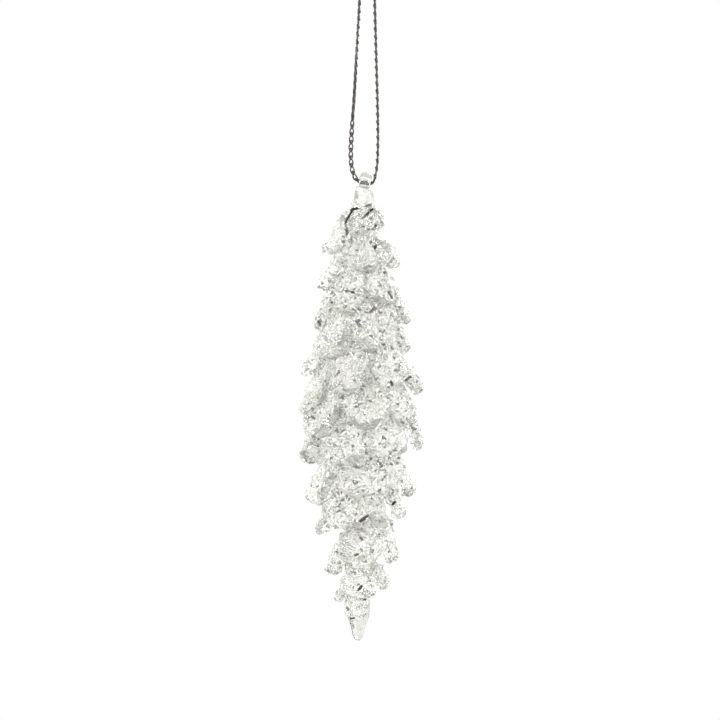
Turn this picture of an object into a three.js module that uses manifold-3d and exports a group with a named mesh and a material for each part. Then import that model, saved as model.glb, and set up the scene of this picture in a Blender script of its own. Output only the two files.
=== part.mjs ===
// Icicle hanging ornament: a flameworked glass icicle covered in overlapping glass scales, hung on
// a loop of metallic cord.
//
// Frame: millimetres, +Z up, +X to the viewer's right, the viewer at -Y. The origin is the seat of
// the cord loop, the inside of its top bend, where a hook or twig carries it. Everything else hangs
// below the origin, apart from the knot and the cord ends.
//
// The glass is a core rod with a looped eye and neck at the top, a blunt clear drip at the bottom,
// and separate scales fused to the rod by their roots. The cord is one length: it runs through the
// eye, up to the hook on both sides, and its two ends are tied in an overhand knot. It is cut into
// stiff lengths here where it bends.
import * as THREE from "three";
import { mergeVertices } from "three/addons/utils/BufferGeometryUtils.js";
import Module from "manifold-3d";

const wasm = await Module();
wasm.setup();

// ---------- driving dimensions ----------
// Heights here and below are measured from the centre of the cord inside the eye.
const CORD_R = 0.52; // flat-to-centre of the eight-sided cord
const HOOK_Z = 73; // centre of the hook that the loop hangs on
const CROWN_R = 1.75; // centreline radius of the bend over the hook
const CROWN_RINGS_DEG = [38, 29, 20]; // rings of the bend, either side of its top
const EYE_TILT_DEG = 12; // the cord and the eye's hole both lean down to the right
const CORE_TOP_Z = -9;
const CORE_TOP_R = 3.35;
const CORE_BOTTOM_Z = -131;
const CORE_BOTTOM_R = 3.6;
const TIP_Z = -142;

// ---------- materials ----------
const glass = new THREE.MeshStandardMaterial({
  color: 0xdfe0da, roughness: 0.12, metalness: 0, transparent: true, opacity: 0.55,
});
const clearGlass = new THREE.MeshStandardMaterial({
  color: 0xeceeea, roughness: 0.04, metalness: 0, transparent: true, opacity: 0.4,
});
const cordMaterial = new THREE.MeshStandardMaterial({
  color: 0x4a4644, roughness: 0.45, metalness: 0.6,
});

// ---------- helpers ----------
const rad = (degrees) => (degrees * Math.PI) / 180;
const { smoothstep } = THREE.MathUtils;

function toManifold(geometry) {
  const bare = new THREE.BufferGeometry()
    .setAttribute("position", geometry.attributes.position)
    .setIndex(geometry.index);
  const merged = mergeVertices(bare, 1e-4);
  return new wasm.Manifold(
    new wasm.Mesh({
      numProp: 3,
      vertProperties: merged.attributes.position.array,
      triVerts: new Uint32Array(merged.index.array),
    }),
  );
}

function toGeometry(manifold) {
  const { vertProperties, triVerts } = manifold.getMesh();
  return new THREE.BufferGeometry()
    .setAttribute("position", new THREE.BufferAttribute(vertProperties, 3))
    .setIndex(new THREE.BufferAttribute(triVerts, 1));
}

// Turns a profile of [radius, height] points about the Z axis.
function turned(profile, sides) {
  const points = profile.map(([radius, z]) => new THREE.Vector2(radius, z));
  return new THREE.LatheGeometry(points, sides).rotateX(Math.PI / 2);
}

// ---------- eye ----------
const HOLE_R = 1.25;
const HOLE_DROP = 0.63; // the cord sits this far above the hole's centre, under the top of the hole
const EYE_BAND_X = 1.85; // half width of the eye's glass along the hole
const EYE_BAND_R = 1.28; // half thickness of the eye's glass, radially
const EYE_BAND_SIDES = 12;
const NECK_PROFILE = [
  // [radius, height]
  [0, CORE_TOP_Z], [CORE_TOP_R, CORE_TOP_Z], [3.3, -7.4], [3.05, -5.4],
  [2.4, -3.8], [2.0, -2.75], [0, -2.75],
];

// A ring of oval section round the hole, standing on a neck that flares down to the core.
function eyeGeometry() {
  const section = [];
  for (let i = 0; i < EYE_BAND_SIDES; i++) {
    const angle = (i / EYE_BAND_SIDES) * 2 * Math.PI;
    const radius = HOLE_R + EYE_BAND_R + EYE_BAND_R * Math.cos(angle);
    section.push(new THREE.Vector2(radius, EYE_BAND_X * Math.sin(angle)));
  }
  section.push(section[0].clone());

  const ring = new THREE.LatheGeometry(section, 28);
  ring.rotateZ(-Math.PI / 2); // the hole runs along X
  ring.rotateY(rad(EYE_TILT_DEG));
  ring.translate(0, 0, -HOLE_DROP);
  return toGeometry(toManifold(ring).add(toManifold(turned(NECK_PROFILE, 20))));
}

// ---------- core rod and drip ----------
const CORE_PROFILE = [
  // [radius, height], from the top down
  [CORE_TOP_R, CORE_TOP_Z], [3.7, -15], [4.2, -26], [4.7, -40], [5.0, -56], [5.0, -78],
  [4.8, -95], [4.3, -110], [3.9, -121], [CORE_BOTTOM_R, CORE_BOTTOM_Z],
];
const DRIP_PROFILE = [
  // [radius, height], from the tip up
  [0, TIP_Z], [0.9, TIP_Z + 0.2], [1.5, TIP_Z + 0.75], [1.85, TIP_Z + 1.7],
  [2.1, -138.9], [2.7, -137.0], [3.35, -135.2], [3.58, -133.4],
  [CORE_BOTTOM_R, CORE_BOTTOM_Z], [0, CORE_BOTTOM_Z],
];

function coreGeometry() {
  const upwards = [...CORE_PROFILE].reverse();
  return turned([[0, CORE_BOTTOM_Z], ...upwards, [0, CORE_TOP_Z]], 24);
}

// Radius of the core at a height; the end radii carry on past its ends.
function coreRadius(z) {
  if (z >= CORE_TOP_Z) return CORE_TOP_R;
  for (let i = 1; i < CORE_PROFILE.length; i++) {
    const [upperR, upperZ] = CORE_PROFILE[i - 1];
    const [lowerR, lowerZ] = CORE_PROFILE[i];
    if (z >= lowerZ) return upperR + ((lowerR - upperR) * (z - upperZ)) / (lowerZ - upperZ);
  }
  return CORE_BOTTOM_R;
}

// ---------- scales ----------
// Columns: name, azimuth, outermost radius, height of that outermost point, mean slope off the
// vertical, half width as an angle about the rod, bow (0 straight, 1 bowed outwards), thickness at
// the tip, roll. Angles are in degrees. Azimuth 0 is +X, 90 is +Y (the back), 180 is -X and 270 is
// the front. A positive roll lifts the edge on the side of increasing azimuth.
const SCALES = [
  ["scale_01_right", 348, 6.5, -12.9, 24, 34, 0.5, 2.8, 0],
  ["scale_01_front", 266, 7.4, -15.4, 24, 36, 0.4, 2.4, 4],
  ["scale_01_left", 184, 11.8, -20.4, 30, 32, 0.2, 3.4, -5],
  ["scale_01_back", 84, 8.2, -16.4, 24, 38, 0.4, 2.6, 0],

  ["scale_02_right", 2, 11.0, -24.6, 40, 32, 0.6, 4.2, 6],
  ["scale_02_front", 276, 11.6, -26.4, 36, 34, 0.4, 3.0, -4],
  ["scale_02_left", 180, 13.5, -31.4, 31, 30, 0.2, 3.6, 4],
  ["scale_02_back", 92, 12.2, -28.0, 36, 36, 0.4, 3.0, 0],

  ["scale_03_right", 354, 15.1, -42.0, 30, 24, 0.05, 3.7, -5],
  ["scale_03_front_right", 302, 14.2, -37.0, 33, 24, 0.4, 3.4, 4],
  ["scale_03_front", 245, 14.4, -38.8, 31, 26, 0.4, 3.4, -4],
  ["scale_03_left", 190, 15.5, -43.6, 30, 24, 0.2, 3.8, 4],
  ["scale_03_back_left", 126, 14.8, -40.2, 32, 30, 0.4, 3.4, 0],
  ["scale_03_back_right", 58, 14.6, -38.8, 34, 30, 0.4, 3.4, 0],

  ["scale_04_right", 8, 14.8, -50.8, 33, 27, 0.55, 3.8, 0],
  ["scale_04_front", 284, 16.8, -50.2, 31, 29, 0.4, 3.6, 3],
  ["scale_04_front_left", 227, 17.2, -53.2, 32, 26, 0.35, 3.6, -3],
  ["scale_04_left", 170, 19.0, -58.5, 31, 28, 0.15, 3.8, -3],
  ["scale_04_back", 92, 17.4, -54.0, 31, 40, 0.35, 3.6, 0],

  ["scale_05_right", 358, 19.1, -63.6, 41, 23, 0.6, 4.0, 4],
  ["scale_05_front_right", 305, 18.6, -62.4, 33, 24, 0.35, 3.6, -3],
  ["scale_05_front", 250, 18.2, -64.0, 30, 26, 0.35, 3.6, 3],
  ["scale_05_left", 193, 19.6, -69.8, 31, 25, 0.25, 3.8, 4],
  ["scale_05_back", 94, 18.8, -66.0, 32, 42, 0.35, 3.6, 0],

  ["scale_06_right", 328, 18.6, -73.0, 34, 22, 0.4, 3.6, 5],
  ["scale_06_front", 276, 18.8, -74.8, 31, 26, 0.35, 3.6, -3],
  ["scale_06_front_left", 222, 19.2, -77.4, 33, 24, 0.35, 3.6, 3],
  ["scale_06_back_left", 150, 18.6, -78.6, 30, 26, 0.35, 3.6, 0],
  ["scale_06_back", 92, 18.8, -77.0, 31, 28, 0.35, 3.6, 0],
  ["scale_06_back_right", 38, 18.6, -75.6, 34, 22, 0.35, 3.6, 0],

  ["scale_07_right", 0, 19.3, -81.2, 32, 12, 0.8, 3.4, 0],
  ["scale_07_front_right", 306, 18.2, -84.6, 30, 27, 0.4, 3.6, 3],
  ["scale_07_front", 248, 18.0, -86.4, 30, 26, 0.35, 3.6, -4],
  ["scale_07_left", 190, 18.3, -84.0, 32, 22, 0.5, 5.0, 4],
  ["scale_07_back", 116, 18.0, -88.4, 30, 38, 0.35, 3.6, 0],

  ["scale_08_right", 354, 16.4, -94.8, 31, 22, 0.85, 4.2, 0],
  ["scale_08_front", 278, 16.6, -95.0, 30, 38, 0.4, 3.4, 3],
  ["scale_08_left", 196, 17.0, -97.8, 36, 28, 0.6, 4.0, -4],
  ["scale_08_back", 92, 16.6, -98.0, 30, 42, 0.35, 3.4, 0],

  ["scale_09_right", 4, 14.7, -102.2, 31, 28, 0.5, 4.2, 0],
  ["scale_09_front", 256, 14.4, -105.2, 30, 42, 0.4, 4.0, -3],
  ["scale_09_left", 178, 13.4, -106.6, 34, 30, 0.7, 5.0, 4],
  ["scale_09_back", 88, 14.0, -107.0, 30, 40, 0.35, 3.4, 0],

  ["scale_10_right", 352, 12.2, -115.4, 24, 30, 0.95, 4.4, 0],
  ["scale_10_front", 274, 12.0, -115.2, 28, 40, 0.4, 4.0, 3],
  ["scale_10_left", 186, 10.4, -119.4, 28, 34, 0.5, 4.4, -3],
  ["scale_10_back", 92, 11.6, -117.0, 28, 42, 0.35, 4.0, 0],

  ["scale_11_right", 8, 9.2, -124.4, 28, 40, 0.4, 3.8, 0],
  ["scale_11_front", 266, 8.4, -127.0, 24, 44, 0.4, 3.2, 3],
  ["scale_11_left", 172, 7.4, -129.0, 24, 42, 0.3, 3.2, 3],
];
const SCALE_SEGMENTS = { across: 4, along: 6, through: 2 };
const ROOT_THICK = 2.6;
const ROOT_HALF_DEG = 24; // most that a root spreads either side, about the rod
const MIN_HALF_WIDTH = 1.6; // before the tip's rounding
const STAND_OFF = 0.05; // gap between root and rod
const BOW_SHIFT = 0.3; // how far a full bow moves the midline's control point
const ROUNDING = { start: 0.6, length: 0.48 }; // elliptical narrowing to the tip, as parts of s
const EDGE_THICKNESS = 0.62; // of the thickness in the middle
const EDGE_INSET = 0.9; // width of the two faces, of the width halfway through
const TIP_FALL = { through: 0.55, across: 0.35 }; // how the tip's bulge dies away to its edges
const FLATNESS = 0.25; // share of the width laid out flat; the rest wraps about the axis

// The middle of a scale as a quadratic curve in [radius, height], from root (s = 0) to tip (s = 1).
function scaleMidline(endR, endZ, slopeDeg, bow) {
  let rootR;
  let rootZ = endZ;
  // Find where a line at the mean slope meets the tapering rod.
  for (let i = 0; i < 12; i++) {
    rootR = coreRadius(rootZ) + STAND_OFF;
    rootZ = endZ + (endR - rootR) / Math.tan(rad(slopeDeg));
  }
  const bendR = rootR + (endR - rootR) * (0.5 + BOW_SHIFT * bow);
  const bendZ = rootZ + (endZ - rootZ) * (0.5 - BOW_SHIFT * bow);
  const blend = (s, root, bend, end) =>
    (1 - s) ** 2 * root + 2 * s * (1 - s) * bend + s * s * end;
  return {
    point: (s) => [blend(s, rootR, bendR, endR), blend(s, rootZ, bendZ, endZ)],
    tangent(s) {
      const alongR = (1 - s) * (bendR - rootR) + s * (endR - bendR);
      const alongZ = (1 - s) * (bendZ - rootZ) + s * (endZ - bendZ);
      const length = Math.hypot(alongR, alongZ);
      return [alongR / length, alongZ / length];
    },
  };
}

// Outward normal of the midline; upright at the root, so that the root's end face lies on the rod.
function scaleNormal(s, [tangentR, tangentZ]) {
  const turn = smoothstep(s, 0, 0.25);
  const normalR = -tangentZ * turn;
  const normalZ = tangentR * turn + (1 - turn);
  const length = Math.hypot(normalR, normalZ);
  return [normalR / length, normalZ / length];
}

function scaleHalfWidth(s, radius, endR, halfDeg) {
  const { start, length } = ROUNDING;
  const outline = s < start ? 1 : Math.sqrt(1 - ((s - start) / length) ** 2);
  const widening = Math.max(0, halfDeg - ROOT_HALF_DEG) * smoothstep(s, 0, 0.4);
  const spread = Math.min(halfDeg, ROOT_HALF_DEG) + widening;
  const half = Math.min(radius, 0.9 * endR) * Math.tan(rad(spread));
  return Math.max(MIN_HALF_WIDTH, half) * outline;
}

// A divided box bent to a scale: t runs across it (-1 to 1), s from its root down to its tip
// (0 to 1), and side through its thickness (-1 to 1).
function scaleGeometry([, azimuthDeg, tipR, tipZ, slopeDeg, halfDeg, bow, tipThick, rollDeg]) {
  const { across: acrossCount, along, through } = SCALE_SEGMENTS;
  const geometry = new THREE.BoxGeometry(1, 1, 1, acrossCount, along, through);
  const endR = tipR - tipThick / 2;
  const midline = scaleMidline(endR, tipZ, slopeDeg, bow);
  const azimuth = rad(azimuthDeg);
  const cos = Math.cos(azimuth);
  const sin = Math.sin(azimuth);
  const positions = geometry.attributes.position;

  for (let i = 0; i < positions.count; i++) {
    const t = 2 * positions.getX(i);
    const s = 0.5 - positions.getY(i);
    const side = 2 * positions.getZ(i);
    const onEdge = Math.abs(t) === 1;
    const [midR, midZ] = midline.point(s);
    const tangent = midline.tangent(s);
    const [normalR, normalZ] = scaleNormal(s, tangent);

    const half = scaleHalfWidth(s, midR, endR, halfDeg);
    const across = t * half * (onEdge && side ? EDGE_INSET : 1);
    const towardsTip = smoothstep(s, 0.2, 0.8);
    const thickness = ROOT_THICK + (tipThick - ROOT_THICK) * towardsTip;
    const offset = (side * thickness * (onEdge ? EDGE_THICKNESS : 1)) / 2;
    const lift = offset + rad(rollDeg) * t * half * towardsTip;
    const fall = (1 - TIP_FALL.through * side * side) * (1 - TIP_FALL.across * t * t);
    const bulge = s === 1 ? (tipThick / 2) * fall : 0;
    const z = midZ + normalZ * lift + tangent[1] * bulge;

    if (s === 0) {
      // The root's end face wraps round the rod.
      const radius = coreRadius(z) + STAND_OFF;
      const angle = azimuth + across / radius;
      positions.setXYZ(i, radius * Math.cos(angle), radius * Math.sin(angle), z);
    } else {
      // Flatter than a circle about the axis, so the sides stand off it a little.
      const outR = midR + normalR * lift + tangent[0] * bulge;
      const radius = Math.max(coreRadius(z) + 2 * STAND_OFF, outR);
      const angle = ((1 - FLATNESS) * across) / radius;
      const x = radius * Math.cos(angle);
      const y = radius * Math.sin(angle) + FLATNESS * across;
      positions.setXYZ(i, x * cos - y * sin, x * sin + y * cos, z);
    }
  }
  return geometry;
}

// ---------- cord ----------
// The crown's middle length is a level chord between its two innermost rings.
const CHORD_COS = Math.cos(rad(CROWN_RINGS_DEG.at(-1)));
const SEAT_Z = HOOK_Z + (CROWN_R - CORD_R) * CHORD_COS; // the chord's inside
const CROWN_TOP_Z = HOOK_Z + (CROWN_R + CORD_R) * CHORD_COS; // its outside

const TWIST_Z = 12; // height at which the loop twists
const SEAM = 0.3; // drop between lengths of cord that turn against each other
const BIGHT_TOP_Z = TWIST_Z - SEAM;

// A point on the eye's leaning axis, so far to the right of its centre.
function inEye(distance) {
  const tilt = rad(EYE_TILT_DEG);
  return [distance * Math.cos(tilt), 0, -distance * Math.sin(tilt)];
}

// Centrelines as [x, y, z]. The strands run down from the crown to the twist.
const LEFT_STRAND = [
  [-CROWN_R, 0, HOOK_Z], [-2.05, 0, 64.5], [-2.3, 0, 56], [-2.95, 0, 41.1],
  [-3.57, 0, 26.2], [-4.0, 0, 18.75], [-4.3, 0, TWIST_Z],
];
const RIGHT_STRAND = [
  [CROWN_R, 0, HOOK_Z], [2.05, 0, 64.5], [2.33, 0, 56], [2.87, 0, 41.1],
  [3.47, 0, 26.2], [3.75, 0, 18.75], [3.95, 0, TWIST_Z],
];
// The bight runs from the left strand through the eye and up to the right strand.
const BIGHT = [
  [-4.31, 0, BIGHT_TOP_Z], [-4.36, 0, 9.2], [-4.25, 0, 6.4], [-3.92, 0, 3.9], [-3.3, 0, 2.1],
  ...[-2.45, -1.2, 0, 1.2, 2.3].map(inEye),
  [2.95, 0, 0.35], [3.35, 0, 2.0], [3.72, 0, 4.0], [3.93, 0, 6.4], [3.98, 0, 9.0],
  [3.96, 0, BIGHT_TOP_Z],
];

// Corners of the eight-sided section, whose flats face along its own axes.
function cordCorners(flatR) {
  const cornerR = flatR / Math.cos(Math.PI / 8);
  return Array.from({ length: 8 }, (_, i) => {
    const angle = Math.PI / 8 + (i * Math.PI) / 4;
    return new THREE.Vector2(cornerR * Math.cos(angle), cornerR * Math.sin(angle));
  });
}

function cordAlong(points, steps, flatR = CORD_R) {
  const section = new THREE.Shape(cordCorners(flatR));
  section.closePath();
  const centreline = points.map((point) => new THREE.Vector3(...point));
  return new THREE.ExtrudeGeometry(section, {
    steps,
    bevelEnabled: false,
    extrudePath: new THREE.CatmullRomCurve3(centreline, false, "centripetal"),
  });
}

// Eight-sided rings on a circle about the hook, joined up from left to right.
function crownGeometry() {
  const rightRings = [...CROWN_RINGS_DEG].reverse().map((degrees) => -degrees);
  const angles = [...CROWN_RINGS_DEG, ...rightRings].map((degrees) => rad(90 + degrees));
  const corners = cordCorners(CORD_R);
  const vertices = [];
  for (const angle of angles) {
    for (const corner of corners) {
      const radius = CROWN_R + corner.x;
      vertices.push(radius * Math.cos(angle), corner.y, HOOK_Z + radius * Math.sin(angle));
    }
  }

  const faces = [];
  const last = (angles.length - 1) * 8;
  for (let ring = 0; ring < last; ring += 8) {
    for (let i = 0; i < 8; i++) {
      const here = ring + i;
      const next = ring + ((i + 1) % 8);
      faces.push(here, here + 8, next + 8, here, next + 8, next);
    }
  }
  for (let i = 1; i < 7; i++) faces.push(0, i, i + 1, last, last + i + 1, last + i);
  return new THREE.BufferGeometry()
    .setAttribute("position", new THREE.Float32BufferAttribute(vertices, 3))
    .setIndex(faces);
}

// ---------- knot and cord ends ----------
const KNOT_GAP = 0.05; // between the knot and the cord below and above it
const KNOT_Z = CROWN_TOP_Z + KNOT_GAP;
const KNOT_HEIGHT = 3.2;
const KNOT_MIDDLE_R = 0.8;
const WRAP_CORD_R = 0.5;
const WRAPS = [
  // [height above the knot's foot, tilt about X, tilt about Y (degrees), ring radius]
  [0.95, 12, 14, 1.02],
  [1.62, -14, -10, 1.18],
  [2.3, 10, 16, 1.02],
];

const TAIL_R = 0.45;
const TAIL_Z = KNOT_Z + KNOT_HEIGHT + KNOT_GAP;
const LEFT_TAIL = [
  [-0.62, 0, TAIL_Z + 0.02], [-0.9, 0.1, TAIL_Z + 2.2], [-1.9, 0.3, TAIL_Z + 5.4],
];
const RIGHT_TAIL = [
  [0.62, 0, TAIL_Z + 0.02], [0.95, -0.1, TAIL_Z + 2.6], [2.3, -0.4, TAIL_Z + 6.6],
];

// An overhand knot, as wraps of cord round a middle.
function knotGeometry() {
  const middle = new THREE.CylinderGeometry(KNOT_MIDDLE_R, KNOT_MIDDLE_R, KNOT_HEIGHT, 10);
  middle.rotateX(Math.PI / 2);
  middle.translate(0, 0, KNOT_Z + KNOT_HEIGHT / 2);
  let knot = toManifold(middle);
  for (const [height, tiltX, tiltY, ringR] of WRAPS) {
    const wrap = new THREE.TorusGeometry(ringR, WRAP_CORD_R, 7, 14);
    wrap.rotateX(rad(tiltX));
    wrap.rotateY(rad(tiltY));
    wrap.translate(0, 0, KNOT_Z + height);
    knot = knot.add(toManifold(wrap));
  }
  return toGeometry(knot);
}

// ---------- assembly ----------
const object = new THREE.Group();
const ornament = new THREE.Group();
ornament.position.z = -SEAT_Z; // brings the seat to the origin
object.add(ornament);

function addMesh(name, geometry, material, group = ornament) {
  const mesh = new THREE.Mesh(geometry, material);
  mesh.name = name;
  group.add(mesh);
}

addMesh("hanging_eye", eyeGeometry(), clearGlass);
addMesh("core_rod", coreGeometry(), glass);
addMesh("drip_tip", turned(DRIP_PROFILE, 20), clearGlass);

const scales = new THREE.Group();
ornament.add(scales);
for (const row of SCALES) addMesh(row[0], scaleGeometry(row), glass, scales);

addMesh("cord_crown", crownGeometry(), cordMaterial);
addMesh("cord_strand_left", cordAlong(LEFT_STRAND, 12), cordMaterial);
addMesh("cord_strand_right", cordAlong(RIGHT_STRAND, 12), cordMaterial);
addMesh("cord_bight", cordAlong(BIGHT, 34), cordMaterial);
addMesh("end_knot", knotGeometry(), cordMaterial);
addMesh("cord_end_left", cordAlong(LEFT_TAIL, 5, TAIL_R), cordMaterial);
addMesh("cord_end_right", cordAlong(RIGHT_TAIL, 5, TAIL_R), cordMaterial);

export default object;
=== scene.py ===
"""A hanging glass icicle: flameworked scales with crushed glass fused on their faces, round a drawn
rod that ends in an eye, on a chain-stitched metallic cord.

It hangs along z, with its front towards -y and its right towards +x. Lengths are in millimetres
and heights are measured from the centre of the cord in the eye, unless a comment says metres.
new_object and frame_z convert both to the metres and heights of the CAD frame."""

import math

import bpy
import numpy as np
from mathutils import Matrix, Vector


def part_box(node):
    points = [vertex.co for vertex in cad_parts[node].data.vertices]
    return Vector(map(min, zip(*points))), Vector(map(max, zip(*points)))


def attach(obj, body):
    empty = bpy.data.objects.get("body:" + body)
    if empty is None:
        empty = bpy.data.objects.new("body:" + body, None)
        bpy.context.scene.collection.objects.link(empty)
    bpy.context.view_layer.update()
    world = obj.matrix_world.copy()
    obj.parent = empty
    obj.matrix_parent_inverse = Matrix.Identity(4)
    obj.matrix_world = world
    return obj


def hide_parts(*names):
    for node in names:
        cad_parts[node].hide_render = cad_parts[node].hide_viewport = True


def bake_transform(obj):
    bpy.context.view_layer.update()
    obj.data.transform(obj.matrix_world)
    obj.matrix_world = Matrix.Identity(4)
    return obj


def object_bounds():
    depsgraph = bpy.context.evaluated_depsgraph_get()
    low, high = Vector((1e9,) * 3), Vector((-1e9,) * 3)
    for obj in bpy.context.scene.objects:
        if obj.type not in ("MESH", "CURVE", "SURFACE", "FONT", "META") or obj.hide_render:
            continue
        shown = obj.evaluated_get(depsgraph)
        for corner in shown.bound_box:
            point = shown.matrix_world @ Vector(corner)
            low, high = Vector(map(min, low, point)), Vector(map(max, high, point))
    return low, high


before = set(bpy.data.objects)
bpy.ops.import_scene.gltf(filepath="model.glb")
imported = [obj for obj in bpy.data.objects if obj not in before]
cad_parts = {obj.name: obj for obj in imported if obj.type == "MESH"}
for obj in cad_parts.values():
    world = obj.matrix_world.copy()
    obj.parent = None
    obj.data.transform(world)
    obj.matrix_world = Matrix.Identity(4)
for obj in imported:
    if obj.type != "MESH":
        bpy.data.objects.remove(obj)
cad_lo, cad_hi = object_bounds()
scene = bpy.context.scene

TIP_Z = -142.0
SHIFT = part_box("drip_tip")[0].z * 1000.0 - TIP_Z  # from heights here to heights in the frame

EYE_TILT = math.radians(12)
HOLE_RADIUS = 1.25
HOLE_DROP = 0.63  # of the hole's centre below the cord's
BAND_HALF_WIDTH = 1.85  # of the glass round the hole, along the hole
BAND_RADIUS = 1.28  # half its thickness, across the hole

HOOK_Z = 73.0  # where the cord's sides meet the top bend
CROWN_RADIUS = 1.75
TWIST_Z = 12.0  # where the sides meet the part through the eye

CAMERA_X = -0.6
CAMERA_Z = -55.335
CAMERA_DISTANCE = 1000
VIEW_WIDTH = 223.2  # seen at the ornament

# The core under the scales, from the top down: radius, z.
CORE_PROFILE = np.array([
    [3.35, -9], [3.7, -15], [4.2, -26], [4.7, -40], [5.0, -56], [5.0, -78],
    [4.8, -95], [4.3, -110], [3.9, -121], [3.6, -131],
], float)

# name, azimuth, outermost radius, its height, slope, half width in degrees, bow, thickness, roll.
# Angles are in degrees: azimuth from +x towards +y, slope away from straight down.
SCALES = [
    ("scale_01_right", 348, 6.5, -12.9, 24, 34, 0.5, 2.8, 0),
    ("scale_01_front", 266, 7.4, -15.4, 24, 36, 0.4, 2.4, 4),
    ("scale_01_left", 184, 11.8, -20.4, 30, 32, 0.2, 3.4, -5),
    ("scale_01_back", 84, 8.2, -16.4, 24, 38, 0.4, 2.6, 0),
    ("scale_02_right", 2, 11.0, -24.6, 40, 32, 0.6, 4.2, 6),
    ("scale_02_front", 276, 11.6, -26.4, 36, 34, 0.4, 3.0, -4),
    ("scale_02_left", 180, 13.5, -31.4, 31, 30, 0.2, 3.6, 4),
    ("scale_02_back", 92, 12.2, -28.0, 36, 36, 0.4, 3.0, 0),
    ("scale_03_right", 354, 15.1, -42.0, 30, 24, 0.05, 3.7, -5),
    ("scale_03_front_right", 302, 14.2, -37.0, 33, 24, 0.4, 3.4, 4),
    ("scale_03_front", 245, 14.4, -38.8, 31, 26, 0.4, 3.4, -4),
    ("scale_03_left", 190, 15.5, -43.6, 30, 24, 0.2, 3.8, 4),
    ("scale_03_back_left", 126, 14.8, -40.2, 32, 30, 0.4, 3.4, 0),
    ("scale_03_back_right", 58, 14.6, -38.8, 34, 30, 0.4, 3.4, 0),
    ("scale_04_right", 8, 14.8, -50.8, 33, 27, 0.55, 3.8, 0),
    ("scale_04_front", 284, 16.8, -50.2, 31, 29, 0.4, 3.6, 3),
    ("scale_04_front_left", 227, 17.2, -53.2, 32, 26, 0.35, 3.6, -3),
    ("scale_04_left", 170, 19.0, -58.5, 31, 28, 0.15, 3.8, -3),
    ("scale_04_back", 92, 17.4, -54.0, 31, 40, 0.35, 3.6, 0),
    ("scale_05_right", 358, 19.1, -63.6, 41, 23, 0.6, 4.0, 4),
    ("scale_05_front_right", 305, 18.6, -62.4, 33, 24, 0.35, 3.6, -3),
    ("scale_05_front", 250, 18.2, -64.0, 30, 26, 0.35, 3.6, 3),
    ("scale_05_left", 193, 19.6, -69.8, 31, 25, 0.25, 3.8, 4),
    ("scale_05_back", 94, 18.8, -66.0, 32, 42, 0.35, 3.6, 0),
    ("scale_06_right", 328, 18.6, -73.0, 34, 22, 0.4, 3.6, 5),
    ("scale_06_front", 276, 18.8, -74.8, 31, 26, 0.35, 3.6, -3),
    ("scale_06_front_left", 222, 19.2, -77.4, 33, 24, 0.35, 3.6, 3),
    ("scale_06_back_left", 150, 18.6, -78.6, 30, 26, 0.35, 3.6, 0),
    ("scale_06_back", 92, 18.8, -77.0, 31, 28, 0.35, 3.6, 0),
    ("scale_06_back_right", 38, 18.6, -75.6, 34, 22, 0.35, 3.6, 0),
    ("scale_07_right", 0, 19.3, -81.2, 32, 12, 0.8, 3.4, 0),
    ("scale_07_front_right", 306, 18.2, -84.6, 30, 27, 0.4, 3.6, 3),
    ("scale_07_front", 248, 18.0, -86.4, 30, 26, 0.35, 3.6, -4),
    ("scale_07_left", 190, 18.3, -84.0, 32, 22, 0.5, 5.0, 4),
    ("scale_07_back", 116, 18.0, -88.4, 30, 38, 0.35, 3.6, 0),
    ("scale_08_right", 354, 16.4, -94.8, 31, 22, 0.85, 4.2, 0),
    ("scale_08_front", 278, 16.6, -95.0, 30, 38, 0.4, 3.4, 3),
    ("scale_08_left", 196, 17.0, -97.8, 36, 28, 0.6, 4.0, -4),
    ("scale_08_back", 92, 16.6, -98.0, 30, 42, 0.35, 3.4, 0),
    ("scale_09_right", 4, 14.7, -102.2, 31, 28, 0.5, 4.2, 0),
    ("scale_09_front", 256, 14.4, -105.2, 30, 42, 0.4, 4.0, -3),
    ("scale_09_left", 178, 13.4, -106.6, 34, 30, 0.7, 5.0, 4),
    ("scale_09_back", 88, 14.0, -107.0, 30, 40, 0.35, 3.4, 0),
    ("scale_10_right", 352, 12.2, -115.4, 24, 30, 0.95, 4.4, 0),
    ("scale_10_front", 274, 12.0, -115.2, 28, 40, 0.4, 4.0, 3),
    ("scale_10_left", 186, 10.4, -119.4, 28, 34, 0.5, 4.4, -3),
    ("scale_10_back", 92, 11.6, -117.0, 28, 42, 0.35, 4.0, 0),
    ("scale_11_right", 8, 9.2, -124.4, 28, 40, 0.4, 3.8, 0),
    ("scale_11_front", 266, 8.4, -127.0, 24, 44, 0.4, 3.2, 3),
    ("scale_11_left", 172, 7.4, -129.0, 24, 42, 0.3, 3.2, 3),
]

# How much greyer than plain glass a scale is; below 0, brighter.
GREYER = {
    "scale_01_front": 0.38, "scale_01_right": 0.34, "scale_01_left": 0.16,
    "scale_02_front": 0.18, "scale_04_front": 0.14, "scale_04_left": 0.18,
    "scale_05_front_right": 0.06, "scale_05_right": 0.12, "scale_07_right": 0.18,
    "scale_08_right": 0.12, "scale_09_right": 0.08, "scale_07_left": -0.1,
    "scale_08_left": -0.08, "scale_09_front": -0.08, "scale_07_front": -0.08,
    "scale_10_left": -0.08, "scale_04_front_left": -0.06, "scale_06_front": -0.04,
    "scale_06_back_left": -0.08,
}

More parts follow.
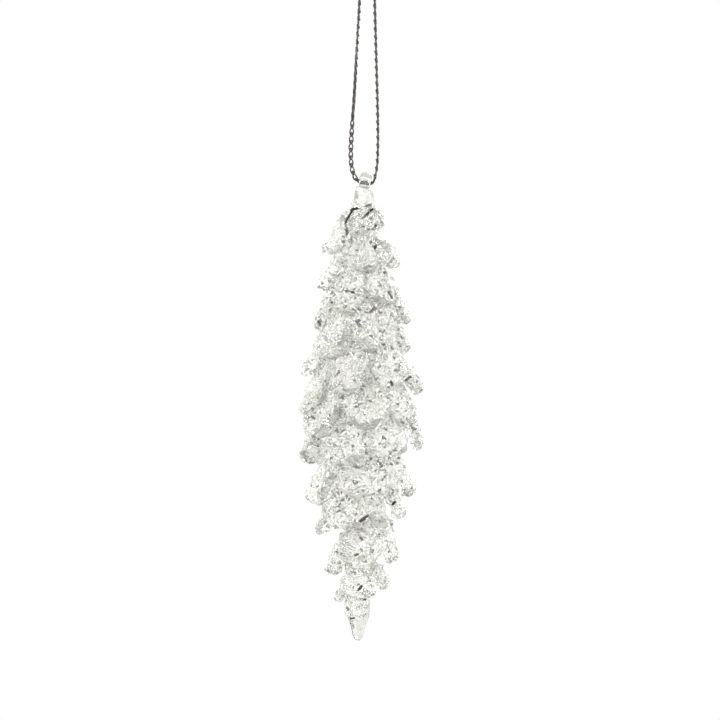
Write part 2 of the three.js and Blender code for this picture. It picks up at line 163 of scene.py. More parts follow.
# Clefts between the lumps of glass, sunk a little and darkened with painted shade, as seen from the
# front:
# x and z of one end, x and z of the other, half width, darkness of the painted shade from 0 to 1.
SHADED_CLEFTS = np.array([
    (-3.9, -8.8, -2.2, -8.3, 0.34, 1.0), (-3.6, -9.0, -5.8, -12.9, 0.22, 0.95),
    (-5.8, -13.1, -5.1, -14.7, 0.3, 0.4), (-5.1, -14.7, -4.9, -17.0, 0.36, 0.45),
    (2.6, -8.5, 0.8, -10.2, 0.28, 0.9), (0.8, -10.2, -0.4, -11.4, 0.2, 0.5),
    (0.6, -7.5, 2.2, -7.0, 0.2, 0.5), (-4.3, -6.6, -4.2, -7.0, 0.24, 0.5),
    (3.6, -13.7, 3.8, -14.0, 0.25, 0.55), (2.9, -14.7, 3.1, -14.9, 0.25, 0.55),
    (1.3, -14.8, 1.6, -14.8, 0.25, 0.45), (-3.5, -132.2, -3.3, -132.8, 0.3, 0.5),
    (3.9, -19.6, 3.5, -20.6, 0.31, 0.8), (1.5, -26.3, 2.4, -26.3, 0.2, 0.5),
    (7.3, -27.9, 6.5, -28.0, 0.28, 0.6), (-4.4, -33.9, -5.3, -33.9, 0.23, 0.6),
    (-2.8, -34.5, -3.6, -34.2, 0.24, 0.7), (-9.4, -34.4, -9.9, -35.0, 0.21, 0.55),
    (7.9, -33.9, 9.1, -35.9, 0.22, 0.65), (3.6, -39.0, 2.4, -40.4, 0.32, 0.65),
    (-13.8, -43.7, -13.1, -44.8, 0.3, 0.65), (7.2, -50.8, 6.3, -50.4, 0.22, 0.65),
    (15.2, -60.3, 13.6, -61.5, 0.31, 0.7), (9.2, -61.8, 9.6, -63.1, 0.26, 0.85),
    (-14.4, -73.6, -15.4, -73.1, 0.25, 0.6), (-13.1, -79.1, -13.1, -80.0, 0.2, 0.55),
    (13.6, -85.2, 13.6, -86.1, 0.28, 0.85), (-15.7, -87.6, -14.7, -87.6, 0.2, 0.55),
    (6.2, -95.4, 5.6, -95.9, 0.21, 0.5), (-5.0, -98.6, -5.5, -99.0, 0.28, 0.5),
    (10.9, -99.2, 10.1, -100.1, 0.3, 0.85), (2.5, -103.4, 1.6, -104.2, 0.3, 0.75),
    (1.6, -104.2, 0.4, -105.1, 0.44, 0.8), (-10.6, -109.7, -11.0, -110.4, 0.34, 0.65),
    (0.7, -110.7, 0.3, -110.3, 0.28, 0.6), (4.3, -114.3, 3.7, -113.9, 0.23, 0.5),
    (-0.5, -115.6, -1.3, -116.0, 0.27, 0.65), (0.9, -125.4, -0.1, -126.5, 0.32, 0.8),
    (1.7, -129.6, 2.1, -129.6, 0.25, 0.8), (-2.5, -135.6, -1.3, -135.3, 0.2, 0.7),
])
CLEFT_VIEW_Z = -55.3  # height of the viewpoint the cleft table is drawn from
BACK_CLEFT_DROP = 5.0


# ---------------------------------------------------------------- numbers and meshes
def ease(start, end, x):
    """0 at start, 1 at end, with a smooth step between; start may be above end."""
    part = np.clip((np.asarray(x, float) - start) / (end - start), 0, 1)
    return part * part * (3 - 2 * part)


def frame_z(z):
    """Height in the frame, in metres."""
    return (z + SHIFT) * 0.001


def core_radius(z):
    return np.interp(-np.asarray(z, float), -CORE_PROFILE[:, 1], CORE_PROFILE[:, 0])


def waves(rng, count, dims, low, high):
    """A smooth random function of dims variables: a sum of sines, about one unit high."""
    rates = rng.normal(size=(count, dims))
    rates = rates / np.linalg.norm(rates, axis=1)[:, None] * rng.uniform(low, high, count)[:, None]
    phases = rng.uniform(0, 2 * math.pi, count)

    def height(*coords):
        angles = sum(np.multiply.outer(rates[:, i], np.asarray(coord, float))
                     for i, coord in enumerate(coords))
        offsets = phases.reshape((count,) + (1,) * np.ndim(coords[0]))
        return np.sin(angles + offsets).sum(0) / math.sqrt(count / 2)

    return height


def grid_quads(rows, cols, wrap_rows=False):
    """Faces over a grid of points whose columns close into a ring, and its rows too if wrapped."""
    j, i = np.meshgrid(np.arange(rows if wrap_rows else rows - 1), np.arange(cols), indexing="ij")
    row, next_row, next_i = j * cols, (j + 1) % rows * cols, (i + 1) % cols
    corners = [row + i, row + next_i, next_row + next_i, next_row + i]
    return np.stack(corners, -1).reshape(-1, 4)


def points_inward(verts, triangles):
    """Whether triangles over a closed surface are wound inside out."""
    v = verts - verts.mean(0)
    cross = np.cross(v[triangles[:, 1]], v[triangles[:, 2]])
    return np.einsum("ij,ij->", v[triangles[:, 0]], cross) < 0


def set_attributes(mesh, attributes):
    for key, values in attributes.items():
        attribute = mesh.attributes.new(key, "FLOAT", "POINT")
        attribute.data.foreach_set("value", np.asarray(values, np.float32))


def new_object(name, verts, faces, material, attributes={}):
    """faces is a list of arrays, each with one row to a face."""
    verts = np.asarray(verts, float).copy()
    verts[:, 2] += SHIFT
    verts *= 0.001
    corners = np.concatenate([f.ravel() for f in faces]).astype(np.int32)
    sizes = np.concatenate([np.full(len(f), f.shape[1]) for f in faces])
    mesh = bpy.data.meshes.new(name)
    mesh.vertices.add(len(verts))
    mesh.vertices.foreach_set("co", verts.ravel())
    mesh.loops.add(len(corners))
    mesh.loops.foreach_set("vertex_index", corners)
    mesh.polygons.add(len(sizes))
    mesh.polygons.foreach_set("loop_start", np.r_[0, np.cumsum(sizes)[:-1]].astype(np.int32))
    mesh.update(calc_edges=True)
    mesh.validate()
    set_attributes(mesh, attributes)
    mesh.shade_smooth()
    piece = bpy.data.objects.new(name, mesh)
    piece.data.materials.append(material)
    scene.collection.objects.link(piece)
    return piece


# ---------------------------------------------------------------- surface of the glass
SHARP_ANGLE = math.radians(62)  # edges between chips sharper than this are not smoothed
CRUSHED_SINK = 0.12  # how far the crushed glass is sunk into the surface

CHIP_SPACING = 0.9
LARGE_SHARE = 0.22
# Chips of crushed glass: how far one can reach, its size and the height of its top.
SMALL_CHIP = dict(reach=1.15, size=(0.42, 0.7), top=(0.15, 0.5))
LARGE_CHIP = dict(reach=1.7, size=(0.75, 1.15), top=(0.35, 0.8))


def crushed(points, normals, rng):
    """Height of the crushed glass above a surface, and how deep each point is in a crease.
    The chips are convex, with a tilted top and five or six sloping sides."""
    order = np.argsort(points[:, 2])
    sorted_z = points[order, 2]
    height = np.full(len(points), -0.12)
    second = height.copy()
    covered = np.zeros(len(points), bool)
    for centre in rng.permutation(len(points)):
        if covered[centre]:
            continue
        chip = LARGE_CHIP if rng.random() < LARGE_SHARE else SMALL_CHIP
        reach = chip["reach"]
        z = points[centre, 2]
        low, high = np.searchsorted(sorted_z, [z - reach, z + reach])
        near = order[low:high]
        away = points[near] - points[centre]
        square = np.einsum("ij,ij->i", away, away)
        covered[near[square < (CHIP_SPACING * rng.uniform(0.75, 1.1)) ** 2]] = True
        kept = square < reach**2
        near, away = near[kept], away[kept]
        normal = normals[centre]
        same_side = normals[near] @ normal > 0.15
        near, away = near[same_side], away[same_side]
        axis_x = np.cross(normal, (0.31, 0.87, 0.38))
        axis_x /= np.linalg.norm(axis_x)
        x, y = away @ axis_x, away @ np.cross(normal, axis_x)
        sides = rng.integers(5, 7)
        even = np.arange(sides) * 2 * math.pi / sides
        turns = rng.uniform(0, 6.28) + even + rng.uniform(-0.3, 0.3, sides)
        size = rng.uniform(*chip["size"]) * rng.uniform(0.8, 1.15, sides)
        slope = rng.uniform(0.9, 2.2, sides)
        walls = (size - (np.outer(x, np.cos(turns)) + np.outer(y, np.sin(turns)))) * slope
        tilt = rng.normal(0, 0.38, 2)
        top = rng.uniform(*chip["top"]) + tilt[0] * x + tilt[1] * y
        own = np.minimum(top, walls.min(1))
        second[near] = np.maximum(second[near], np.minimum(height[near], own))
        height[near] = np.maximum(height[near], own)
    low = 1 - ease(-0.1, 0.14, height)
    between = 1 - ease(0.0, 0.16, height - second)
    return height, np.maximum(low, between)


def within(points, half_x, half_y, soft):
    """Points drawn in, softly, to inside an upright tube of oval section."""
    radius = np.hypot(points[:, 0], points[:, 1])
    cos, sin = points[:, 0] / radius, points[:, 1] / radius
    most = 1 / np.sqrt((cos / half_x) ** 2 + (sin / half_y) ** 2)
    over = np.maximum(radius - (most - soft), 0)
    drawn_in = np.minimum(radius, most - soft) + soft * np.tanh(over / soft)
    points = points.copy()
    points[:, 0], points[:, 1] = cos * drawn_in, sin * drawn_in
    return points


def clefts(points, normals):
    """For each point, a field that is over 0.75 inside a cleft, and how dark the painted shade in
    the nearest one is.
    The back has the same clefts, turned round and lower."""
    perspective = CAMERA_DISTANCE / (CAMERA_DISTANCE + points[:, 1])
    field, deep = np.zeros(len(points)), np.zeros(len(points))
    for side, drop in ((1, 0.0), (-1, BACK_CLEFT_DROP)):
        x = side * ((points[:, 0] - CAMERA_X) * perspective + CAMERA_X)
        z = CLEFT_VIEW_Z + (points[:, 2] - CLEFT_VIEW_Z) * perspective + drop
        facing = ease(-0.35, -0.05, -side * normals[:, 1])
        for x0, z0, x1, z1, half, dark in SHADED_CLEFTS:
            close = (np.abs(x - (x0 + x1) / 2) < 3.5) & (np.abs(z - (z0 + z1) / 2) < 3.5)
            near = np.flatnonzero(close & (facing > 0))
            if not len(near):
                continue
            dx, dz = x1 - x0, z1 - z0
            along = ((x[near] - x0) * dx + (z[near] - z0) * dz) / (dx * dx + dz * dz)
            along = np.clip(along, 0, 1)
            away = np.hypot(x[near] - x0 - along * dx, z[near] - z0 - along * dz)
            own = np.clip(0.75 - (away - max(half, 0.17) - 0.11) / 0.6, 0, 1) * facing[near]
            best = own > field[near]
            field[near[best]], deep[near[best]] = own[best], 1 - (1 - dark) ** 2.4
    return field, deep


def cut_clefts(points, normals, depth):
    """The points sunk where clefts run, with the field of the clefts and the darkness of their
    painted shade.
    """
    cleft, deep = clefts(points, normals)
    points = points - normals * (depth * ease(0.55, 0.85, cleft) * deep)[:, None]
    return points, cleft, deep


# ---------------------------------------------------------------- materials
class Tree:
    """The emptied node tree of a material or world."""

    def __init__(self, owner, output="OutputMaterial"):
        owner.use_nodes = True
        self.tree = owner.node_tree
        self.tree.nodes.clear()
        self.surface = self.add(output).inputs["Surface"]

    def feed(self, socket, value):
        """Link a socket, or set its value; colours are given without alpha."""
        if isinstance(value, bpy.types.NodeSocket):
            self.tree.links.new(value, socket)
        elif socket.type == "RGBA":
            socket.default_value = (*value, 1)
        else:
            socket.default_value = value

    def add(self, kind, inputs={}, **settings):
        node = self.tree.nodes.new("ShaderNode" + kind)
        for key, value in settings.items():
            setattr(node, key, value)
        for key, value in inputs.items():
            self.feed(node.inputs[key], value)
        return node

    def math(self, operation, *values, clamp=False):
        inputs = dict(enumerate(values))
        return self.add("Math", inputs, operation=operation, use_clamp=clamp).outputs[0]

    def attribute(self, name):
        return self.add("Attribute", attribute_name=name).outputs["Fac"]

    def noise(self, coords, scale, detail=2):
        return self.add("TexNoise", {"Vector": coords, "Scale": scale, "Detail": detail})

    def ramp(self, factor, *stops):
        """stops are pairs of position and tone, a grey level or a colour."""
        node = self.add("ValToRGB", {"Fac": factor})
        elements = node.color_ramp.elements
        for k in (0, -1):
            elements[k].position = stops[k][0]
        ends = [elements[0], elements[1]]
        for element, (_, tone) in zip(ends, (stops[0], stops[-1])):
            element.color = self.rgba(tone)
        for position, tone in stops[1:-1]:
            elements.new(position).color = self.rgba(tone)
        return node.outputs["Color"]

    @staticmethod
    def rgba(tone):
        return (*(tone if isinstance(tone, tuple) else (tone,) * 3), 1)

    def mix(self, factor, first, second, blend="MIX"):
        inputs = {0: factor, 6: first, 7: second}
        return self.add("Mix", inputs, data_type="RGBA", blend_type=blend).outputs[2]

    def multiply(self, first, second):
        return self.mix(1.0, first, second, "MULTIPLY")

    def remap(self, value, from_min, from_max, to_min, to_max):
        return self.add("MapRange", {
            "Value": value, "From Min": from_min, "From Max": from_max,
            "To Min": to_min, "To Max": to_max,
        }).outputs[0]


def grain_cells(tree, coords):
    """Three random values to each grain, and the distance from the seams between the grains."""
    warp = tree.noise(coords, 700).outputs["Color"]
    reach = (0.0006, 0.0006, 0.0006)  # metres
    bent = tree.add("VectorMath", operation="MULTIPLY_ADD")
    for k, value in enumerate((warp, reach, coords)):
        tree.feed(bent.inputs[k], value)
    inputs = {"Scale": 1100.0, "Vector": bent.outputs[0]}
    cell = tree.add("TexVoronoi", inputs, feature="F1")
    seam = tree.add("TexVoronoi", inputs, feature="DISTANCE_TO_EDGE")
    own = tree.add("SeparateColor", {0: cell.outputs["Color"]})
    return own.outputs, seam.outputs["Distance"]


def grain_tone(tree, coords, own, seam, facing):
    """Tone of the crushed glass: each grain its own, with painted shade along the seams and in the
    creases, dark specks, and painted shade in the gaps between the scales and towards the outline.
    """
    tone = tree.ramp(own[0], (0.0, 0.66), (0.55, 0.83), (1.0, 1))
    # Painted shade: the seams between the grains and the creases between the chips are darkened.
    tone = tree.multiply(tone, tree.ramp(seam, (0.0, 0.3), (0.16, 1)))
    tone = tree.multiply(tone, tree.ramp(tree.attribute("crease"), (0.25, 1), (0.95, 0.25)))
    # The grains lie thick in some places and thin in others.
    thick = tree.remap(tree.noise(coords, 330, detail=1).outputs["Fac"], 0.38, 0.62, 0.65, 1)
    tone = tree.mix(thick, (1, 1, 1), tone)
    # Painted shade: deep gaps between the scales are darkened where ambient occlusion finds them.
    # The distance is in metres.
    gap = tree.add("AmbientOcclusion", {"Distance": 0.0026}, samples=8)
    tone = tree.multiply(tone, tree.ramp(gap.outputs["AO"], (0.12, 0.62), (0.6, 1)))
    tone = tree.multiply(tone, tree.ramp(own[2], (0.94, 1), (0.95, 0.12)))
    # Painted shade: the grains darken towards their outline.
    return tree.multiply(tone, tree.ramp(facing, (0.55, 1), (1.0, 0.74)))


def glass_material(name, ripple, coat, coat_ior, coat_roughness, shaded_outline_tones):
    """Clear glass where the attribute frit is 0; where it is 1, glass grains. The last argument is
    the tone of the clear glass from where it faces the viewer to its outline, with painted shade
    that darkens it towards the outline."""
    material = bpy.data.materials.new(name)
    tree = Tree(material)
    coords = tree.add("TexCoord").outputs["Object"]
    frit = tree.attribute("frit")
    own, seam = grain_cells(tree, coords)
    facing = tree.add("LayerWeight", {"Blend": 0.5}).outputs["Facing"]
    grains = grain_tone(tree, coords, own, seam, facing)
    veil = tree.noise(coords, 620).outputs["Fac"]
    # Painted shade: the clear glass darkens from where it faces the viewer towards its outline.
    clear = tree.multiply(tree.ramp(facing, *shaded_outline_tones),
                          tree.ramp(veil, (0.36, 0.72), (0.6, 1)))
    tint = (0.99, 1.0, 0.917)
    tone = tree.multiply(tree.mix(frit, clear, grains), tint)
    greyer = tree.add("CombineColor")
    for channel in greyer.inputs:
        tree.feed(channel, tree.math("SUBTRACT", 1.0, tree.attribute("grey")))
    tone = tree.multiply(tone, greyer.outputs[0])
    # Painted shade: the clefts are darkened to near black.
    cleft = tree.remap(tree.attribute("cleft"), 0.62, 0.8, 0, 1)
    cleft = tree.math("MULTIPLY", cleft, tree.attribute("cleft_shade_darkness"))
    tone = tree.mix(cleft, tone, (0.03, 0.025, 0.018))

    # Only what the camera sees directly takes these tones: light that has already been inside
    # keeps most of its strength, or so many layers of glass would go dark.
    seen = tree.add("LightPath").outputs["Is Camera Ray"]
    colour = tree.mix(tree.remap(seen, 0, 1, 0, 1), (0.998, 1.0, 0.992), tone)
    # How much of the light the grains scatter.
    milk = tree.math("MULTIPLY", frit, tree.remap(seen, 0, 1, 0.08, 0.35))
    # The clefts let little light through, so their painted shade stays dark.
    milk = tree.math("MAXIMUM", milk, tree.math("MULTIPLY", cleft, 0.9))

    # No specular or coat layer shines on the painted shade in the clefts.
    def outside_clefts(value):
        return tree.math("MULTIPLY", tree.math("SUBTRACT", 1.0, cleft), value)

    clear_roughness = 0.02
    grain_roughness = tree.remap(own[1], 0, 1, 0.024, 0.096)
    roughness = tree.add("Mix", data_type="FLOAT")
    for k, value in ((0, frit), (2, clear_roughness), (3, grain_roughness)):
        tree.feed(roughness.inputs[k], value)
    # Slow ripples, then the roundness of the grains. Bump distances are in metres.
    ripples = tree.add("Bump", {
        "Distance": 0.0004, "Strength": ripple,
        "Height": tree.noise(coords, 320, detail=1).outputs["Fac"],
    })
    rounded = tree.add("Bump", {
        "Distance": 0.0001, "Strength": tree.math("MULTIPLY", frit, 0.5),
        "Height": tree.remap(seam, 0, 0.45, 0, 1), "Normal": ripples.outputs[0],
    })
    shader = tree.add("BsdfPrincipled", {
        "Base Color": colour,
        "IOR": 1.5,
        "Transmission Weight": tree.math("SUBTRACT", 1.0, milk),
        "Roughness": roughness.outputs[0],
        "Specular IOR Level": outside_clefts(0.5),
        "Coat Weight": outside_clefts(coat),
        "Coat IOR": coat_ior,
        "Coat Roughness": coat_roughness,
        "Normal": rounded.outputs[0],
    })
    tree.feed(tree.surface, shader.outputs[0])
    return material


def yarn_material():
    """Dark metallic yarn of twisted filaments."""
    material = bpy.data.materials.new("metallic_yarn")
    tree = Tree(material)
    # Stripes that climb round the yarn: yarn_u goes round it and yarn_v along it.
    around = tree.math("MULTIPLY", tree.attribute("yarn_u"), 6 * 2 * math.pi)
    along = tree.math("MULTIPLY", tree.attribute("yarn_v"), 5.5)
    wave = tree.math("SINE", tree.math("ADD", around, along))
    stripe = tree.math("ADD", tree.math("MULTIPLY", wave, 0.5), 0.5)
    coords = tree.add("TexCoord").outputs["Object"]
    fine = tree.noise(coords, 900).outputs["Fac"]
    slow = tree.noise(coords, 90).outputs["Fac"]
    level = tree.math("ADD", tree.math("MULTIPLY", stripe, 0.6),
                      tree.math("MULTIPLY", fine, 0.55), clamp=True)
    tone = tree.ramp(level, (0.12, (0.018, 0.016, 0.015)), (0.5, (0.062, 0.057, 0.055)),
                     (0.95, (0.23, 0.22, 0.213)))
    warmth = tree.ramp(slow, (0.35, 1), (0.65, (1.0, 0.92, 0.9)))
    bump = tree.add("Bump", {"Distance": 0.00006, "Strength": 0.9, "Height": stripe})
    shader = tree.add("BsdfPrincipled", {
        "Metallic": 0.85,
        "Base Color": tree.multiply(tone, warmth),
        "Roughness": tree.remap(fine, 0, 1, 0.28, 0.5),
        "Normal": bump.outputs[0],
    })
    tree.feed(tree.surface, shader.outputs[0])
    return material


GLASS_SCALE = glass_material(
    "frit_covered_glass", ripple=0.25, coat=0.9, coat_ior=1.8, coat_roughness=0.03,
    shaded_outline_tones=((0.0, 0.36), (0.5, 0.31), (0.8, 0.16), (1.0, 0.05)))
GLASS_CLEAR = glass_material(
    "drawn_clear_glass", ripple=0.6, coat=0.3, coat_ior=1.5, coat_roughness=0.08,
    shaded_outline_tones=((0.0, 0.48), (0.5, 0.42), (0.8, 0.2), (1.0, 0.06)))
YARN = yarn_material()


# ---------------------------------------------------------------- scales
GRID = 0.27  # spacing of a scale's points
FIRST_SCALE_SEED = 20000
ROOT_HALF_HEIGHT = 1.3
BARE_LEVEL = 0.55  # where the bareness noise is above this, a rim is clear glass
# Ovals that hold the scales before and after the crushed glass is laid on.
BODY_LIMIT = dict(half_x=19.25, half_y=18.75, soft=1.6)
CRUSHED_LIMIT = dict(half_x=19.85, half_y=19.35, soft=0.5)


def bezier(ends, part):
    return (1 - part) ** 2 * ends[0] + 2 * part * (1 - part) * ends[1] + part**2 * ends[2]


class Spine:
    """Middle line of a scale, in radius and height: a curve from the core to near the tip, then
    straight on. Places on it are given as a share of the curve's length."""

    def __init__(self, tip_radius, tip_z, slope, bow):
        root_z = tip_z
        for _ in range(12):
            root = float(core_radius(root_z)) + 0.05
            root_z = tip_z + (tip_radius - root) / math.tan(math.radians(slope))
        middle = root + (tip_radius - root) * (0.5 + 0.3 * bow)
        middle_z = root_z + (tip_z - root_z) * (0.5 - 0.3 * bow)
        self.radii = (root, middle, tip_radius)
        self.heights = (root_z, middle_z, tip_z)
        shares = np.linspace(0, 1, 200)
        steps = [np.diff(bezier(ends, shares)) for ends in (self.radii, self.heights)]
        self.length = float(np.hypot(*steps).sum())

    def at(self, share):
        """Radius, height, and the direction in both."""
        part = np.clip(share, 0, 1)
        run, fall = ((1 - part) * (b - a) + part * (c - b)
                     for a, b, c in (self.radii, self.heights))
        norm = np.hypot(run, fall)
        run, fall = run / norm, fall / norm
        beyond = np.maximum(share - 1, 0) * self.length
        return (bezier(self.radii, part) + run * beyond,
                bezier(self.heights, part) + fall * beyond, run, fall)


def scale_outline(spine, total, half_degrees, rng):
    """A function that gives a scale's half width at a distance down it."""
    unevenness = waves(rng, 5, 1, 0.5, 1.7)
    round_from = 0.55 * spine.length

    def half_width(down):
        share = down / spine.length
        radius = np.minimum(spine.at(share)[0], 0.9 * spine.radii[2])
        spread = min(half_degrees, 24) + max(0, half_degrees - 24) * ease(0, 0.4, share)
        base = np.maximum(1.6, radius * np.tan(np.radians(spread)))
        part = np.clip((down - round_from) / (total - round_from), 0, 1)
        closing = np.maximum(1 - part**2.3, 0) ** (1 / 2.3)
        return base * closing * (1 + 0.07 * unevenness(down) * ease(0.15, 0.4, share))

    return half_width


def rim_distance(half_width, total, across, down):
    """Distance of each grid point in from the outline."""
    stations = np.linspace(0.02 * total, total, 120)
    widths = half_width(stations)
    widths[-1] = 0
    outline = np.concatenate([np.c_[-widths, stations], np.c_[widths[::-1], stations[::-1]]])
    points = np.c_[across.ravel(), down.ravel()]
    square = np.full(len(points), 1e9)
    for start, edge in zip(outline[:-1], np.diff(outline, axis=0)):
        away = points - start
        along = np.clip(away @ edge / max(edge @ edge, 1e-9), 0, 1)
        away -= along[:, None] * edge
        square = np.minimum(square, away[:, 0] ** 2 + away[:, 1] ** 2)
    distance = np.sqrt(square).reshape(across.shape)
    distance[:, 0] = distance[:, -1] = 0
    distance[-1, :] = 0
    return distance


def scale_section(distance, bead, thick, share):
    """Half height of a scale: a round bead along the rim, a thinner web inside, a low root."""
    inside = np.minimum(distance, bead)
    rounded = np.sqrt(np.maximum(bead**2 - (bead - inside) ** 2, 0))
    web = 0.5 * thick * 0.66
    flat = bead + (web - bead) * ease(0, 2.0, distance - bead)
    half = np.where(distance < bead, rounded, flat)
    lowered = 1 - np.minimum(1, ROOT_HALF_HEIGHT / np.maximum(half, 0.3))
    return half * (1 - (1 - ease(0, 0.35, share)) * lowered)


def there_and_back(outer, inner):
    """Rows over the outer face, then back over the inner face without the edge columns."""
    return np.concatenate([outer, inner[:, -2:0:-1]], 1)


def grid_normals(rings):
    around = np.roll(rings, -1, 1) - np.roll(rings, 1, 1)
    normals = np.cross(around, np.gradient(rings, axis=0))
    normals /= np.maximum(np.linalg.norm(normals, axis=2), 1e-9)[..., None]
    centre = rings.mean(1, keepdims=True)
    return -normals if ((rings - centre) * normals).sum() < 0 else normals


def closed_faces(rows, cols):
    """Faces over rows of rings, closed by a tip point and a root point after the grid's."""
    quads = grid_quads(rows, cols)
    k = np.arange(cols)
    after = (k + 1) % cols
    last = (rows - 1) * cols
    tip = np.stack([last + k, last + after, np.full(cols, rows * cols)], -1)
    root = np.stack([after, k, np.full(cols, rows * cols + 1)], -1)
    return [quads, np.vstack([tip, root])]


def scale_piece(index, name, azimuth, tip_radius, tip_z, slope, half_degrees, bow, thick, roll):
    rng = np.random.default_rng(FIRST_SCALE_SEED + index)
    spine = Spine(tip_radius - thick / 2, tip_z, slope, bow)
    total = spine.length + 0.5 * thick
    half_width = scale_outline(spine, total, half_degrees, rng)

    # The grid is denser towards the tip and the side edges.
    part = np.linspace(0, 1, int(total / GRID) + 2)
    stations = total * (part + 0.3 * (part - part * part))
    widest = float(half_width(np.linspace(0, total, 60)).max())
    even = np.linspace(-1, 1, int(2 * widest / GRID) + 8)
    widths = half_width(stations)
    widths[-1] = 0.0
    across = (0.45 * even + 0.55 * np.sin(even * math.pi / 2))[None, :] * widths[:, None]
    down = np.repeat(stations[:, None], len(even), 1)
    distance = rim_distance(half_width, total, across, down)
    # The lower edge is drawn down unevenly.
    pull = waves(rng, 4, 1, 0.25, 0.8)
    down = down + 0.55 * pull(across) * ease(0.6, 1.0, down / total) * (widths[:, None] > 0)
    share = down / spine.length

    rim_noise = waves(rng, 6, 2, 0.25, 0.9)
    bead = (0.5 * thick * 0.86 * (1 + 0.16 * rim_noise(across, down))
            * (1 + 0.18 * ease(0.75, 1.0, down / total)))
    half_height = scale_section(distance, bead, thick, share)

    bareness = waves(rng, 5, 2, 0.2, 0.6)(across, down)
    clear_rim = ease(BARE_LEVEL, BARE_LEVEL + 0.5, bareness)
    clear_rim = clear_rim * (1 - ease(0.55, 1.1, distance / bead))
    cover = (1 - 0.92 * clear_rim) * ease(0.03, 0.12, share)
    bend = waves(rng, 6, 2, 0.18, 0.5)
    cup = rng.uniform(-0.9, 0.5) * (across / widths.max()) ** 2 * ease(0.3, 0.9, share)
    lift = (0.32 * bend(across, down) + cup) * ease(0.1, 0.5, share)

    def face(height):
        """Points this far out from the spine, wrapped round the core."""
        radius, z, run, fall = spine.at(share)
        turned = ease(0, 0.25, share)
        out, up = -fall * turned, run * turned + (1 - turned)
        norm = np.hypot(out, up)
        out, up = out / norm, up / norm
        height = height + lift + math.radians(roll) * across * ease(0.2, 0.8, share)
        z = z + up * height
        radius = np.maximum(core_radius(z) + 0.1, radius + out * height)
        radius = np.where(part[:, None] == 0, core_radius(z) - 0.2, radius)
        angle = 0.75 * across / radius
        x, y = radius * np.cos(angle), radius * np.sin(angle) + 0.25 * across
        cos, sin = math.cos(math.radians(azimuth)), math.sin(math.radians(azimuth))
        return np.stack([x * cos - y * sin, x * sin + y * cos, z], -1)

    outer, inner = face(half_height), face(-half_height)
    for edge in (0, -1):
        outer[:, edge] = outer[:, edge] * 0.5 + inner[:, edge] * 0.5
    rings = there_and_back(outer, inner)
    tip = rings[-1].mean(0)
    rings = rings[:-1]
    cover = there_and_back(cover, cover)[:-1].ravel()
    rows, cols = rings.shape[:2]
    points, normals = rings.reshape(-1, 3), grid_normals(rings).reshape(-1, 3)
    points = within(points, **BODY_LIMIT)
    rise, crease = crushed(points, normals, rng)
    points = points + normals * ((rise - CRUSHED_SINK) * cover)[:, None]
    points = within(points, **CRUSHED_LIMIT)
    points, cleft, deep = cut_clefts(points, normals, depth=0.3)

    verts = np.vstack([points, tip, points[:cols].mean(0)])
    faces = closed_faces(rows, cols)
    if points_inward(verts, np.vstack([faces[0][:, :3], faces[0][:, [0, 2, 3]], faces[1]])):
        faces = [f[:, ::-1] for f in faces]
    fields = {"frit": cover, "crease": crease, "cleft": cleft, "cleft_shade_darkness": deep}
    attributes = {key: np.r_[values, 0, 0] for key, values in fields.items()}
    attributes["grey"] = np.full(len(verts), GREYER.get(name, 0.0))
    piece = new_object(name + "_glass", verts, faces, GLASS_SCALE, attributes)
    piece.data.set_sharp_from_angle(angle=SHARP_ANGLE)
    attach(piece, "icicle")
    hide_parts(name)


for index, row in enumerate(SCALES):
    scale_piece(index, *row)


# ---------------------------------------------------------------- drip, core and eye: one rod
# Profiles below and above the core, from the bottom up: radius, z.
DRIP_PROFILE = [
    [0, TIP_Z], [0.9, -141.8], [1.5, -141.25], [1.85, -140.3], [2.1, -138.9], [2.7, -137.0],
    [3.35, -135.2], [3.58, -133.4],
]
NECK_PROFILE = [
    [3.45, -7.4], [3.3, -5.6], [3.0, -4.2], [2.78, -3.1], [2.64, -2.4], [2.52, -1.85],
    [2.3, -1.5], [1.95, -1.62], [1.5, -1.85], [0, -1.95],
]
ROD_STEP, ROD_SIDES = 0.35, 48


def rod_body():
    line = np.vstack([DRIP_PROFILE, CORE_PROFILE[::-1], NECK_PROFILE])
    arc = np.r_[0, np.cumsum(np.hypot(*np.diff(line, axis=0).T))]
    stations = np.arange(0, arc[-1], ROD_STEP)
    line = np.c_[np.interp(stations, arc, line[:, 0]), np.interp(stations, arc, line[:, 1])]
    for _ in range(3):
        line[1:-1] = (line[:-2] + 2 * line[1:-1] + line[2:]) / 4
    angle = np.linspace(0, 2 * math.pi, ROD_SIDES, endpoint=False)
    circles = [np.c_[radius * np.cos(angle), radius * np.sin(angle), np.full(ROD_SIDES, z)]
               for radius, z in line[1:]]
    verts = np.vstack([[[0, 0, line[0, 1]]], *circles, [[0, 0, line[-1, 1]]]])
    verts[:, 2] -= math.tan(EYE_TILT) * verts[:, 0] * ease(-4.4, -2.0, verts[:, 2])
    quads = 1 + grid_quads(len(circles), ROD_SIDES)
    k = np.arange(ROD_SIDES)
    after = (k + 1) % ROD_SIDES
    top = 1 + (len(circles) - 1) * ROD_SIDES
    low_cap = np.stack([np.zeros(ROD_SIDES, int), 1 + after, 1 + k], -1)
    high_cap = np.stack([top + k, top + after, np.full(ROD_SIDES, len(verts) - 1)], -1)
    return verts, quads, np.vstack([low_cap, high_cap])


